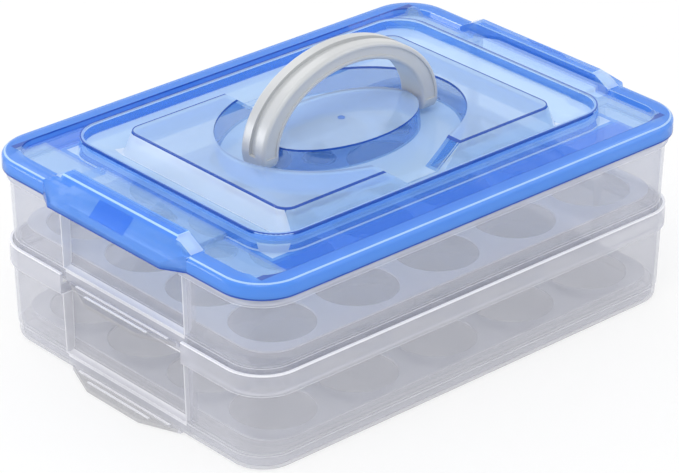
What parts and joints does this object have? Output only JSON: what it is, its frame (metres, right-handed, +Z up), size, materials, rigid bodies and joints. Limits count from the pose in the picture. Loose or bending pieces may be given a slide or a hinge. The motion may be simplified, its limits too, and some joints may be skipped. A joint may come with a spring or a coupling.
{
  "type": "deviled egg carrier",
  "caption": "Two stacked clear trays with moulded egg-cup inserts under a blue lid with end grips and a folding arched handle.",
  "frame": {"origin": "centre of the bounding box on the plane the lower tray stands on", "axes": "+X along the long side, +Y across to the other long side, +Z up"},
  "size_m": [0.3188, 0.219, 0.1577],
  "materials": {
    "clear_tray": "clear, slightly milky",
    "clear_insert": "clear, thin sheet",
    "blue_lid": "see-through blue, polished",
    "white_handle": "satin"
  },
  "bodies": {
    "lower_tray_body": {"lower_tray": "clear_tray"},
    "upper_tray_body": {"upper_tray": "clear_tray"},
    "lid_body": {"lid": "blue_lid"},
    "handle_body": {"carry_handle": "white_handle"},
    "lower_insert_body": {"lower_insert_front_row": "clear_insert", "lower_insert_mid_front_row": "clear_insert", "lower_insert_mid_back_row": "clear_insert", "lower_insert_back_row": "clear_insert"},
    "upper_insert_body": {"upper_insert_front_row": "clear_insert", "upper_insert_mid_front_row": "clear_insert", "upper_insert_mid_back_row": "clear_insert", "upper_insert_back_row": "clear_insert"}
  },
  "joints": [
    {"name": "upper_tray_lift", "type": "slide", "parent": "lower_tray_body", "child": "upper_tray_body", "axis": [0, 0, 1], "range_m": [0, 0.06]},
    {"name": "lid_lift", "type": "slide", "parent": "upper_tray_body", "child": "lid_body", "axis": [0, 0, 1], "range_m": [0, 0.06]},
    {"name": "handle_fold", "type": "hinge", "parent": "lid_body", "child": "handle_body", "pos_m": [0, 0, 0.11205], "axis": [1, 0, 0], "range_deg": [-90, 90]},
    {"name": "lower_insert_lift", "type": "slide", "parent": "lower_tray_body", "child": "lower_insert_body", "axis": [0, 0, 1], "range_m": [0, 0.025]},
    {"name": "upper_insert_lift", "type": "slide", "parent": "upper_tray_body", "child": "upper_insert_body", "axis": [0, 0, 1], "range_m": [0, 0.025]}
  ]
}
